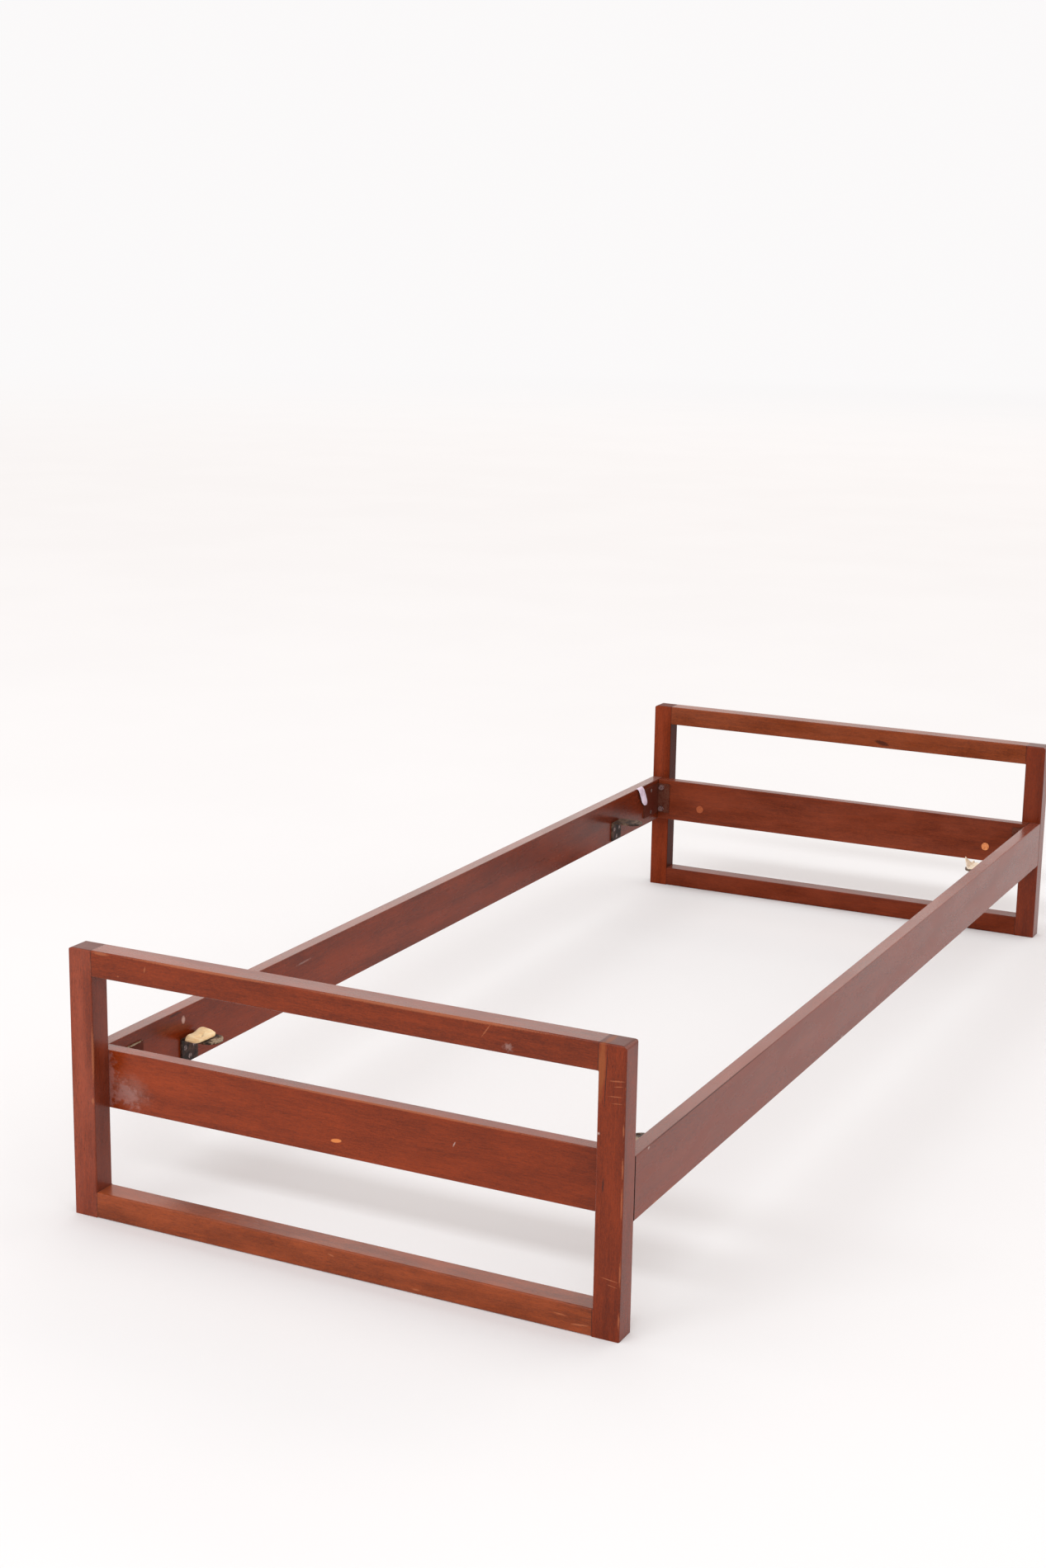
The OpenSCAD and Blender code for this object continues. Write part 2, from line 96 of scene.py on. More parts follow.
class Graph:
    """One material, with short ways to add shader nodes to it."""

    def __init__(self, name):
        self.material = bpy.data.materials.new(name)
        self.material.use_nodes = True
        self.tree = self.material.node_tree
        self.tree.nodes.clear()

    def feed(self, socket, value):
        """Links another node's output to a socket, or sets the socket to a constant."""
        if isinstance(value, bpy.types.NodeSocket):
            self.tree.links.new(value, socket)
        else:
            socket.default_value = value

    def node(self, kind, inputs=None, **settings):
        """A new shader node, with its settings and what its sockets get."""
        made = self.tree.nodes.new(kind)
        for key, value in settings.items():
            setattr(made, key, value)
        for key, value in (inputs or {}).items():
            self.feed(made.inputs[key], value)
        return made

    def math(self, operation, first, second=0.0, clamp=False):
        inputs = {0: first} if operation == "ABSOLUTE" else {0: first, 1: second}
        made = self.node("ShaderNodeMath", inputs, operation=operation, use_clamp=clamp)
        return made.outputs[0]

    def vector(self, operation, first, second):
        made = self.node("ShaderNodeVectorMath", {0: first, 1: second}, operation=operation)
        return made.outputs[0]

    def length(self, first):
        return self.node("ShaderNodeVectorMath", {0: first}, operation="LENGTH").outputs["Value"]

    def step(self, value, low, high, to_low=0.0, to_high=1.0):
        """A smooth step of value, from to_low at low to to_high at high."""
        inputs = {
            "Value": value, "From Min": low, "From Max": high, "To Min": to_low, "To Max": to_high,
        }
        made = self.node("ShaderNodeMapRange", inputs, interpolation_type="SMOOTHSTEP")
        return made.outputs[0]

    def blend(self, factor, first, second):
        """A colour that goes from first to second as the factor goes from 0 to 1."""
        made = self.node("ShaderNodeMix", {0: factor, 6: first, 7: second}, data_type="RGBA")
        return made.outputs[2]

    def total(self, *parts):
        """The sum of values, each given with its weight."""
        out = None
        for value, weight in parts:
            term = self.math("MULTIPLY", value, weight)
            out = term if out is None else self.math("ADD", out, term)
        return out

    def noise(self, place, scale, detail, rough):
        inputs = {"Vector": place, "Scale": scale, "Detail": detail, "Roughness": rough}
        return self.node("ShaderNodeTexNoise", inputs)

    def mapped(self, place, scale, shift=(0, 0, 0)):
        inputs = {"Vector": place, "Location": shift, "Scale": scale}
        return self.node("ShaderNodeMapping", inputs).outputs[0]

    def object_place(self):
        return self.node("ShaderNodeTexCoord").outputs["Object"]

    def split(self, place):
        return self.node("ShaderNodeSeparateXYZ", {0: place}).outputs

    def join(self, x, y, z):
        return self.node("ShaderNodeCombineXYZ", {0: x, 1: y, 2: z}).outputs[0]

    def spots(self, place, marks, rough_edge, rough_scale, soft=(1.15, 0.75)):
        """How much a point lies in one of the marks.

        Each mark is an ellipsoid: its middle and half sizes in mm, and its turn in degrees.
        """
        wobble = self.math("SUBTRACT", self.noise(place, rough_scale, 2.0, 0.6).outputs[0], 0.5)
        wobble = self.math("MULTIPLY", wobble, rough_edge * 2)
        total = None
        for middle, half, turn in marks:
            inputs = {
                "Vector": place,
                "Location": [v * MM for v in middle],
                "Rotation": [math.radians(v) for v in turn],
                "Scale": [v * MM for v in half],
            }
            local = self.node("ShaderNodeMapping", inputs, vector_type="TEXTURE").outputs[0]
            reach = self.math("ADD", self.length(local), wobble)
            inside = self.step(reach, *soft)
            total = inside if total is None else self.math("MAXIMUM", total, inside)
        return total

    def bump(self, height, strength, distance):
        inputs = {"Strength": strength, "Distance": distance, "Height": height}
        return self.node("ShaderNodeBump", inputs).outputs[0]

    def finish(self, shader):
        self.node("ShaderNodeOutputMaterial", {"Surface": shader})
        return self.material


# Wood

# The axes of a piece: first the one along its grain, then the two across
GRAIN_ORDER = {"X": (0, 1, 2), "Y": (1, 2, 0), "Z": (2, 0, 1)}
# A face counts as square to an axis between these shares of its normal along that axis
FACING = (0.75, 0.95)
# Layers of the grain: how fine along and across, per metre, detail, roughness, whether the layer
# follows the wandering of the grain, and how much it adds to the tone
GRAIN_LAYERS = {
    "bands": (0.9, 55.0, 3.0, 0.55, True, 0.22),
    "streaks": (9.0, 330.0, 3.0, 0.6, True, 0.24),
    "fibre": (75.0, 640.0, 2.0, 0.6, True, 0.32),
    "fine": (170.0, 1350.0, 2.0, 0.6, True, 0.34),
    "speck": (420.0, 800.0, 2.0, 0.6, False, 0.38),
    "mottle": (7.0, 22.0, 3.0, 0.55, False, 0.20),
}
# Year rings: how many per metre, how far off the pith lies across the piece, and their weight
RINGS_PER_METRE = (95, 130)
PITH_REACH = ((0.05, 0.10), (0.04, 0.09))
RING_WEIGHT = 0.14
# Patches of figure: their turn, their scale and their weight
PATCH_TURN = (0.5, 0.4, 0.7)
PATCH_SCALE = (8.0, 26.0, 26.0)
PATCH_WEIGHT = 0.50
# How far the sum of the layers strays from its mean to give the darkest or the lightest tone
TONE_RANGE = 0.30
# How far the grain wanders off the straight
WANDER = 0.030
# Pores: how fine along and across, and how fine the places are where they crowd
PORE_SCALE = (85.0, 1300.0)
CROWD_SCALE = (2.0, 30.0)
# The dark line at a butted end fades between these distances from the end
SEAM = (0.0016, 0.0008)
# Roughness of the varnish, and what wear and sawn ends add to it
VARNISH_ROUGH = (0.23, 0.31)
WORN_ROUGH = 0.20
END_ROUGH = 0.16
WOOD_LIGHT = (0.280, 0.036, 0.0052, 1.0)
WOOD_MID = (0.186, 0.022, 0.0030, 1.0)
WOOD_DARK = (0.088, 0.010, 0.0016, 1.0)
SHEEN_TINT = (1.0, 0.90, 0.88, 1.0)
BLACK = (0.0, 0.0, 0.0, 1.0)
# Bare wood at rubbed edges, also used as a painted highlight along the arrises
WORN_AND_HIGHLIGHT = linear(172, 98, 62)
# Pale marks, also used as a painted reflection on some faces
PALE_MARK_AND_REFLECTION = linear(214, 190, 180)
DARK_MARK = linear(48, 22, 18)
SAPWOOD = linear(158, 90, 46)
BLOOM = linear(186, 150, 146)
CHIP = linear(216, 128, 68)
SPOT = linear(208, 170, 158)

# Kinds of marks: colour, strength, how ragged the outline is, how fine that is, and how soft
MARK_KINDS = {
    "sap": (SAPWOOD, 0.42, 0.35, 60.0, (1.25, 0.5)),
    # Rubbed edges and scratches; the long lines on the arrises are also a painted highlight
    "worn": (WORN_AND_HIGHLIGHT, 0.55, 0.6, 700.0, (1.3, 0.6)),
    "chip": (CHIP, 0.90, 0.12, 500.0, (1.15, 0.80)),
    "spot": (SPOT, 0.75, 0.45, 350.0, (1.2, 0.6)),
    "pale": (PALE_MARK_AND_REFLECTION, 0.45, 0.6, 600.0, (1.3, 0.5)),
    "haze": (PALE_MARK_AND_REFLECTION, 0.10, 0.5, 90.0, (1.4, 0.0)),
    "smudge": (PALE_MARK_AND_REFLECTION, 0.22, 1.2, 260.0, (1.5, 0.1)),
    "bloom": (BLOOM, 0.22, 1.9, 120.0, (1.5, 0.45)),
    "dark": (DARK_MARK, 0.70, 0.5, 700.0, (1.15, 0.75)),
}


def shade(colour, tone, warm=1.0):
    """A lighter or darker form of a colour; warm changes the green alone."""
    return (colour[0] * tone, colour[1] * tone * warm, colour[2] * tone, 1.0)


def wood(node, axis, seed, tone, wear, pores, figure, marks, ends, haze_and_painted_reflection=0.0, far_tone=1.0,
         gloss=0.24, painted_top_reflection=0.0, warm=1.0, painted_side_shade=0.0, calm=1.0):
    """Stained and varnished wood for one piece, with the grain along the given axis.

    Tone scales the colour, wear the rubbed edges, whose pale line is also a painted highlight, and
    pores and figure the grain. Ends is open where the sawn ends are seen and butted where they meet
    other pieces. The thin pale film is partly haze and partly a painted reflection, far_tone is the
    tone at the end with the highest coordinate (painted shade on the left side rail), the options
    for the top and the sides paint a reflection on the faces that look up and shade on those that
    look sideways, and calm evens out the grain.
    """
    marks = marks or {}
    rng = random.Random(seed)
    low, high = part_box(node)
    middle = (low + high) / 2
    half = (high - low) / 2
    order = GRAIN_ORDER[axis]
    half_along, half_a, half_b = (half[order[0]], half[order[1]], half[order[2]])

    g = Graph("wood_" + node)
    place = g.object_place()
    parts = g.split(g.vector("SUBTRACT", place, tuple(middle)))
    along, across_a, across_b = (parts[order[0]], parts[order[1]], parts[order[2]])
    grain = g.join(along, across_a, across_b)

    def anywhere(reach):
        return [rng.uniform(-reach, reach) for _ in range(3)]

    def stretched(scale_along, scale_across, detail, rough, source=grain):
        moved = g.mapped(source, (scale_along, scale_across, scale_across), anywhere(40))
        return g.noise(moved, 1.0, detail, rough).outputs[0]

    # The grain wanders a little along the board
    drift = g.noise(g.mapped(grain, (1.3, 9.0, 9.0), anywhere(40)), 1.0, 2.0, 0.5).outputs[1]
    drift = g.vector("SUBTRACT", drift, (0.5, 0.5, 0.5))
    drift = g.vector("MULTIPLY", drift, (0.0, WANDER * figure, WANDER * figure))
    wandering = g.vector("ADD", grain, drift)

    # Year rings, cut from a log whose middle lies outside the board
    pith = [rng.choice((-1, 1)) * rng.uniform(*reach) for reach in PITH_REACH]
    from_pith = g.vector("ADD", wandering, (0.0, *pith))
    radius = g.length(g.vector("MULTIPLY", from_pith, (0.0, 1.0, 1.0)))
    ring_count = g.math("MULTIPLY", radius, rng.uniform(*RINGS_PER_METRE))
    ring_line = g.join(ring_count, g.math("MULTIPLY", along, 0.35), rng.uniform(0, 50))
    rings = g.noise(ring_line, 1.0, 4.0, 0.62).outputs[0]

    parts_of_tone = [(rings, RING_WEIGHT * figure)]
    layers = {}
    for name, (fine_along, fine_across, detail, rough, follows, weight) in GRAIN_LAYERS.items():
        source = wandering if follows else grain
        layers[name] = stretched(fine_along, fine_across, detail, rough, source)
        parts_of_tone.append((layers[name], weight))
    mottle = layers["mottle"]
    # Soft dark patches that lie slantwise to the grain, as in figured wood
    inputs = {"Vector": grain, "Rotation": PATCH_TURN, "Scale": PATCH_SCALE}
    slant = g.node("ShaderNodeMapping", inputs).outputs[0]
    patches = g.noise(slant, 1.0, 3.0, 0.55).outputs[0]
    parts_of_tone.append((patches, PATCH_WEIGHT * figure))

    centre = 0.5 * sum(weight for _, weight in parts_of_tone)
    spread = TONE_RANGE * calm
    amount = g.step(g.total(*parts_of_tone), centre - spread, centre + spread)
    colour = g.blend(amount, shade(WOOD_DARK, tone, warm), shade(WOOD_LIGHT, tone, warm))
    colour = g.blend(g.step(mottle, 0.2, 0.8, 0.0, 0.25), colour, shade(WOOD_MID, tone, warm))
    # Darker towards the far end; on the left side rail this is painted shade towards the head
    if far_tone != 1.0:
        reach = float(half_along)
        darker = g.step(along, -reach, reach, 0.0, 1.0 - far_tone)
        colour = g.blend(darker, colour, BLACK)
    # A pale film in clouds: partly haze, partly a painted reflection that makes up for lowered
    # gloss
    if haze_and_painted_reflection:
        cloud = g.step(patches, *NOISE_SPREAD, 0.6 * haze_and_painted_reflection, 1.4 * haze_and_painted_reflection)
        colour = g.blend(cloud, colour, PALE_MARK_AND_REFLECTION)

    # Open pores, short dark dashes along the grain, thicker in some places than in others
    dashes = stretched(*PORE_SCALE, 1.0, 0.5)
    crowd = stretched(*CROWD_SCALE, 2.0, 0.5)
    dash_at = g.step(crowd, *NOISE_SPREAD, 0.72, 0.72 - 0.14 * pores)
    pore = g.step(g.math("SUBTRACT", dashes, dash_at), 0.0, 0.05)
    pore = g.math("MULTIPLY", pore, 0.20 + 0.40 * pores)
    colour = g.blend(pore, colour, shade(WOOD_DARK, 0.42 * tone))

    # Sawn ends take more stain
    normal = g.node("ShaderNodeTexCoord").outputs["Normal"]
    facing = g.math("ABSOLUTE", g.split(normal)[order[0]])
    end_grain = g.step(facing, *FACING)
    end_fleck = g.noise(g.mapped(place, (900, 900, 900)), 1.0, 2.0, 0.6).outputs[0]
    end_colour = g.blend(end_fleck, shade(WOOD_DARK, 0.55 * tone), shade(WOOD_MID, 0.75 * tone))
    colour = g.blend(g.math("MULTIPLY", end_grain, 0.85), colour, end_colour)
    # Painted shade on the faces that look sideways and a painted reflection on those that look up,
    # by the direction of the face on the piece
    if painted_side_shade:
        side = g.step(g.math("ABSOLUTE", g.split(normal)[0]), *FACING, 0.0, painted_side_shade)
        colour = g.blend(side, colour, shade(WOOD_DARK, 0.5))
    if painted_top_reflection:
        top = g.step(g.split(normal)[2], *FACING, 0.0, painted_top_reflection)
        colour = g.blend(top, colour, PALE_MARK_AND_REFLECTION)

    # The arrises: dull and dark in some places, rubbed to bare wood in others, and that pale line
    # is also a painted highlight along the edge
    gap_a = g.math("SUBTRACT", half_a, g.math("ABSOLUTE", across_a))
    gap_b = g.math("SUBTRACT", half_b, g.math("ABSOLUTE", across_b))
    gap_along = g.math("SUBTRACT", half_along, g.math("ABSOLUTE", along))
    long_edge = g.math("MAXIMUM", gap_a, gap_b)
    if ends == "open":
        end_edge = g.math("MAXIMUM", gap_along, g.math("MINIMUM", gap_a, gap_b))
        edge = g.math("MINIMUM", long_edge, end_edge)
    else:
        edge = long_edge
    rub = g.noise(g.mapped(place, (46, 46, 46), anywhere(9)), 1.0, 4.0, 0.7).outputs[0]
    rub_width = g.step(rub, 0.40, 0.78, 0.0006, 0.0010 * wear + 0.0008)
    arris = g.step(g.math("DIVIDE", edge, rub_width), 1.25, 0.55)
    arris = g.math("MULTIPLY", arris, g.math("SUBTRACT", 1.0, g.math("MULTIPLY", end_grain, 0.7)))
    dull = g.math("MULTIPLY", arris, g.step(rub, 0.60, 0.42, 0.0, 0.55))
    colour = g.blend(dull, colour, shade(WOOD_DARK, 0.7 * tone))
    worn = g.math("MULTIPLY", arris, g.step(rub, 0.48, 0.70, 0.0, 0.10 + 0.45 * wear))
    colour = g.blend(worn, colour, WORN_AND_HIGHLIGHT)

    # A dark line where the end of the piece meets its neighbour
    if ends == "butted":
        ragged_gap = g.math("ADD", gap_along, g.math("MULTIPLY", rub, 0.0006))
        seam = g.step(ragged_gap, *SEAM)
        colour = g.blend(g.math("MULTIPLY", seam, 0.75), colour, DARK_MARK)

    extra_rough = worn
    for kind, (paint, strength, rough_edge, rough_scale, soft) in MARK_KINDS.items():
        if kind in marks:
            mask = g.spots(place, marks[kind], rough_edge, rough_scale, soft)
            mask = g.math("MULTIPLY", mask, strength)
            colour = g.blend(mask, colour, paint)
            extra_rough = g.math("MAXIMUM", extra_rough, mask)

    # Varnish: satin, duller where rubbed off and on the sawn ends
    rough = g.step(mottle, 0.25, 0.75, *VARNISH_ROUGH)
    rough = g.math("ADD", rough, g.math("MULTIPLY", extra_rough, WORN_ROUGH))
    rough = g.math("ADD", rough, g.math("MULTIPLY", end_grain, END_ROUGH), clamp=True)

    # The surface follows the grain, the pores and a slight ripple of the varnish
    ripple = g.noise(g.mapped(place, (160, 160, 160)), 1.0, 2.0, 0.5).outputs[0]
    height = g.total(
        (layers["fine"], 0.35), (layers["streaks"], 0.30), (ripple, 0.55), (pore, -0.55))

    shader = g.node("ShaderNodeBsdfPrincipled", {
        "Base Color": colour,
        "Roughness": rough,
        "Normal": g.bump(height, 0.25, 0.0003),
        "Specular IOR Level": gloss,
        "Sheen Weight": 0.5 * gloss,
        "Sheen Roughness": 0.30,
        "Sheen Tint": SHEEN_TINT,
    })
    return g.finish(shader.outputs[0])


def pale_wood(name, axis, light, dark, left_stain=0.0):
    """Unstained beech for the dowels and the plugs; those on the left may have taken some stain."""
    g = Graph(name)
    place = g.object_place()
    order = GRAIN_ORDER[axis][0]
    long_scale = [240.0, 240.0, 240.0]
    long_scale[order] = 18.0
    streaks = g.noise(g.mapped(place, long_scale), 1.0, 3.0, 0.6).outputs[0]
    flecks = g.noise(g.mapped(place, [v * 6 for v in long_scale]), 1.0, 2.0, 0.5).outputs[0]
    colour = g.blend(g.step(streaks, *NOISE_SPREAD), dark, light)
    colour = g.blend(g.step(flecks, 0.60, 0.70, 0.0, 0.6), colour, dark)
    if left_stain:
        stain = g.step(g.split(place)[0], 0.05, -0.05, 0.0, left_stain)
        colour = g.blend(stain, colour, shade(WOOD_LIGHT, 0.9))
    shader = g.node("ShaderNodeBsdfPrincipled", {
        "Base Color": colour,
        "Roughness": g.step(streaks, *NOISE_SPREAD, 0.50, 0.62),
        "Normal": g.bump(flecks, 0.3, 0.0002),
        "Specular IOR Level": 0.3,
    })
    return g.finish(shader.outputs[0])


# Metal

PAINT_BLACK = (0.016, 0.010, 0.010, 1.0)
PAINT_BROWN = (0.060, 0.021, 0.017, 1.0)
PAINT_RED = (0.088, 0.015, 0.008, 1.0)
BARE_STEEL = linear(176, 156, 130)
RUST = linear(104, 68, 44)


def painted_steel(name, bare, wear, brown, paint=PAINT_BROWN, gloss=0.12):
    """Old paint on steel plate, rubbed through at the edges and where a base has lain on it."""
    g = Graph(name)
    place = g.object_place()
    cloud = g.noise(place, 70.0, 4.0, 0.6).outputs[0]
    grit = g.noise(place, 900.0, 3.0, 0.65).outputs[0]
    blotch = g.noise(place, 230.0, 4.0, 0.65).outputs[0]
    scuff = g.noise(g.mapped(place, (60, 520, 520)), 1.0, 3.0, 0.6).outputs[0]
    colour = g.blend(g.step(cloud, 0.55 - 0.35 * brown, 0.85 - 0.35 * brown), PAINT_BLACK, paint)
    point = g.node("ShaderNodeNewGeometry").outputs["Pointiness"]
    rubbed_edges = g.math("MULTIPLY", g.step(point, 0.52, 0.60), 0.7)
    rubbed = g.math("ADD", rubbed_edges, g.step(scuff, 0.66, 0.80, 0.0, 0.6))
    rubbed = g.math("MULTIPLY", rubbed, g.step(cloud, 0.42, 0.66, 0.10, wear))
    # The bare places are rubbed paint on the brackets, and a painted highlight on the foot irons'
    # tops
    if bare:
        rubbed = g.math("MAXIMUM", rubbed, g.spots(place, bare, 0.8, 240.0))
    steel = g.blend(g.step(blotch, 0.44, 0.62, 0.0, 0.9), BARE_STEEL, RUST)
    steel = g.blend(g.step(grit, 0.56, 0.72, 0.0, 0.6), steel, PAINT_BLACK)
    colour = g.blend(rubbed, colour, steel)
    shader = g.node("ShaderNodeBsdfPrincipled", {
        "Base Color": colour,
        "Roughness": g.step(grit, *NOISE_SPREAD, 0.42, 0.60),
        "Metallic": g.math("MULTIPLY", rubbed, 0.35),
        "Normal": g.bump(grit, 0.35, 0.0003),
        "Specular IOR Level": gloss,
    })
    return g.finish(shader.outputs[0])


def fastener_steel(name, bright, dull, metallic):
    """Plated steel of bolts, washers and screws, dulled in spots."""
    g = Graph(name)
    place = g.object_place()
    cloud = g.noise(place, 260.0, 3.0, 0.6).outputs[0]
    grit = g.noise(place, 2400.0, 2.0, 0.6).outputs[0]
    colour = g.blend(g.step(cloud, 0.38, 0.66), bright, dull)
    colour = g.blend(g.step(grit, 0.60, 0.72, 0.0, 0.6), colour, RUST)
    shader = g.node("ShaderNodeBsdfPrincipled", {
        "Base Color": colour,
        "Roughness": g.step(cloud, *NOISE_SPREAD, 0.32, 0.52),
        "Metallic": metallic,
        "Normal": g.bump(grit, 0.3, 0.0001),
    })
    return g.finish(shader.outputs[0])


def put(node, material):
    """Gives one CAD node a material."""
    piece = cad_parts[node]
    piece.data.materials.clear()
    piece.data.materials.append(material)


# Marks on the wood, in millimetres: the middle, the half sizes and the turn of each

# The faces that they lie on: the front of the foot's frame and of its board, the inner side of
# the left side rail and the outer side of the right one
FOOT_FRONT = -1065
BOARD_FRONT = -1027
RAIL_IN = -412
RAIL_OUT = 435

MARKS = {
    "foot_right_post": {
        "sap": [
            ((401, FOOT_FRONT, 374), (5.5, 9, 46), (0, 2.2, 0)),
            ((405, -1046, 405), (4.5, 20, 4), (0, 0, 0)),
        ],
        "worn": [
            # Lines down the right arris of the front: rubbed wood and a painted highlight
            ((433.4, FOOT_FRONT + 1, 292), (0.9, 3, 9), (0, 0, 0)),
            ((433.4, FOOT_FRONT + 1, 240), (1.0, 3, 14), (0, 0, 0)),
            ((433.4, FOOT_FRONT + 1, 192), (1.0, 3, 22), (0, 0, 0)),
            ((433.6, FOOT_FRONT + 1, 96), (1.0, 3, 16), (0, 0, 0)),
            ((433.6, FOOT_FRONT + 1, 30), (1.0, 3, 10), (0, 0, 0)),
            ((422.5, FOOT_FRONT, 357), (10, 2, 1.0), (0, -6, 0)),
            ((425, FOOT_FRONT, 350), (6, 2, 0.6), (0, -9, 0)),
            ((421, FOOT_FRONT, 336), (10, 2, 0.7), (0, -4, 0)),
            ((424, FOOT_FRONT, 327), (7, 2, 0.5), (0, -5, 0)),
            ((419, FOOT_FRONT, 85), (12, 2, 0.7), (0, 7, 0)),
            ((423, FOOT_FRONT, 77), (6, 2, 0.5), (0, 10, 0)),
        ],
        "pale": [((398.8, FOOT_FRONT, 282.6), (1.8, 2, 1.8), (0, 0, 0))],
        "dark": [
            ((406.8, FOOT_FRONT, 213), (1.4, 2, 10), (0, 3, 0)),
            ((407.2, FOOT_FRONT, 358), (0.8, 2, 45), (0, 2.2, 0)),
        ],
    },
    "foot_left_post": {
        "worn": [
            ((-398.3, FOOT_FRONT, 178.8), (2.2, 2, 4.5), (0, 0, 0)),
            # A line down the inner arris of the front: rubbed wood and a painted highlight
            ((-397, FOOT_FRONT + 1, 250), (1.4, 3, 40), (0, 0, 0)),
        ],
    },
    "foot_top_rail": {
        "worn": [
            ((-378, FOOT_FRONT + 1, 402.5), (14, 3, 2), (0, 0, 0)),
            ((-349, FOOT_FRONT, 374), (1.4, 2, 1.4), (0, 0, 0)),
            ((-303, FOOT_FRONT, 391), (1.3, 2, 4.5), (0, 15, 0)),
            ((235, FOOT_FRONT, 392.8), (11, 2, 0.9), (0, -55, 0)),
            # Long lines on the front top arris: rubbed wood and a painted highlight
            ((150, FOOT_FRONT + 1, 403.5), (170, 4, 2.2), (0, 0, 0)),
            ((-200, FOOT_FRONT + 1, 403.8), (120, 4, 1.8), (0, 0, 0)),
        ],
        "smudge": [((267.8, FOOT_FRONT, 376), (6, 2, 5), (0, 0, 0))],
    },
    "foot_mid_rail": {
        "worn": [
            # A long line on the front top arris: rubbed wood and a painted highlight
            ((60, BOARD_FRONT + 1, 244), (250, 3, 1.3), (0, 0, 0)),
        ],
        "chip": [((-14.5, BOARD_FRONT, 179.5), (8.5, 2, 2.8), (0, -8, 0))],
        "pale": [((169.8, BOARD_FRONT, 210), (0.9, 2, 4.5), (0, 25, 0))],
        "haze": [((-362, BOARD_FRONT, 190), (36, 3, 26), (0, 14, 0))],
        "bloom": [
            ((-398, BOARD_FRONT, 196), (11, 3, 50), (0, 0, 0)),
            ((-368, BOARD_FRONT, 182), (22, 3, 14), (0, 14, 0)),
        ],
    },
    "foot_bottom_rail": {
        "worn": [
            ((350, FOOT_FRONT, 21.5), (9, 2, 1.2), (0, 3, 0)),
            ((378, FOOT_FRONT, 12.5), (12, 2, 1.4), (0, -6, 0)),
            ((134, FOOT_FRONT, 7), (6, 2, 1.5), (0, 0, 0)),
            ((0, FOOT_FRONT, 28), (5, 2, 1.2), (0, 10, 0)),
        ],
    },
    "left_side_rail": {
        "spot": [((RAIL_IN, -818.5, 226.5), (2, 4.6, 6.0), (0, 0, 0))],
        "smudge": [((RAIL_IN, -473, 224.2), (2, 20, 1.6), (2, 0, 0))],
        "dark": [((RAIL_IN, -840, 241), (2, 16, 2.0), (0, 0, 0))],
    },
    "right_side_rail": {
        "worn": [
            ((RAIL_OUT, -905, 155.5), (4, 16, 2.6), (0, 0, 0)),
            ((RAIL_OUT, -770, 155), (4, 22, 2.4), (0, 0, 0)),
            ((RAIL_OUT, -581, 155), (4, 18, 2.2), (0, 0, 0)),
            ((RAIL_OUT, -490, 155), (4, 14, 2.0), (0, 0, 0)),
            ((RAIL_OUT, -958, 156), (4, 10, 2.2), (0, 0, 0)),
        ],
        "pale": [
            ((RAIL_OUT, -206, 157), (3, 5, 2.6), (0, 0, 0)),
            ((RAIL_OUT, -985, 242), (3, 3, 2), (0, 0, 0)),
        ],
        "dark": [((RAIL_OUT, -760, 245), (1.2, 290, 1.2), (0, 0, 0))],
    },
    "head_top_rail": {
        "dark": [((88, 1026, 377), (17, 3, 5), (0, 12, 0))],
    },
}

WOODS = [
    # node, axis of the grain, seed, tone, wear, pores, figure, ends, and what else is special
    # The pale film is haze on the foot's left post, and partly a painted reflection on the head's
    # pieces
    ("foot_left_post", "Z", 11, 1.10, 0.5, 0.7, 0.9, "open",
     {"haze_and_painted_reflection": 0.030, "painted_side_shade": 0.3}),
    ("foot_right_post", "Z", 12, 0.90, 0.6, 0.7, 0.9, "open", {}),
    # Painted shade on the sides of this post and of the foot's left post
    ("head_left_post", "Z", 13, 0.98, 0.3, 0.6, 0.9, "open",
     {"painted_side_shade": 0.9, "gloss": 0.03, "haze_and_painted_reflection": 0.016}),
    ("head_right_post", "Z", 14, 0.80, 0.3, 0.6, 0.9, "open", {}),
    ("foot_top_rail", "X", 21, 0.98, 0.7, 0.6, 0.9, "butted", {"far_tone": 0.90, "warm": 1.05}),
    ("head_top_rail", "X", 22, 0.98, 0.4, 0.6, 0.9, "butted",
     {"gloss": 0.08, "warm": 1.30, "haze_and_painted_reflection": 0.022}),
    ("foot_bottom_rail", "X", 23, 1.20, 0.4, 0.6, 1.3, "butted", {"haze_and_painted_reflection": 0.014, "warm": 1.30}),
    ("head_bottom_rail", "X", 24, 0.72, 0.3, 0.6, 0.9, "butted", {"gloss": 0.07, "haze_and_painted_reflection": 0.012}),
    ("foot_mid_rail", "X", 31, 1.12, 0.5, 0.7, 1.0, "butted", {"far_tone": 0.84, "warm": 1.03}),
    ("head_mid_rail", "X", 32, 0.80, 0.3, 0.6, 1.0, "butted",
     {"gloss": 0.08, "warm": 1.05, "haze_and_painted_reflection": 0.018}),
    # Painted shade towards the head of this rail, and a painted reflection on its top
    ("left_side_rail", "Y", 41, 0.98, 0.3, 0.8, 0.9, "butted",
     {"far_tone": 0.74, "gloss": 0.17, "painted_top_reflection": 0.12}),
    ("right_side_rail", "Y", 42, 0.95, 0.2, 1.0, 0.8, "butted", {"calm": 2.0}),
]

for name, axis, seed, tone, wear, pores, figure, ends, special in WOODS:
    put(name, wood(name, axis, seed, tone, wear, pores, figure, MARKS.get(name), ends, **special))

plug_wood = pale_wood(
    "plug_wood", "Y", linear(232, 146, 88), linear(186, 104, 60), left_stain=0.8)
dowel_wood = pale_wood("dowel_wood", "X", linear(222, 186, 140), linear(186, 142, 98))
for end in ("foot", "head"):
    put(end + "_rail_plugs", plug_wood)
    put(end + "_frame_dowels", dowel_wood)

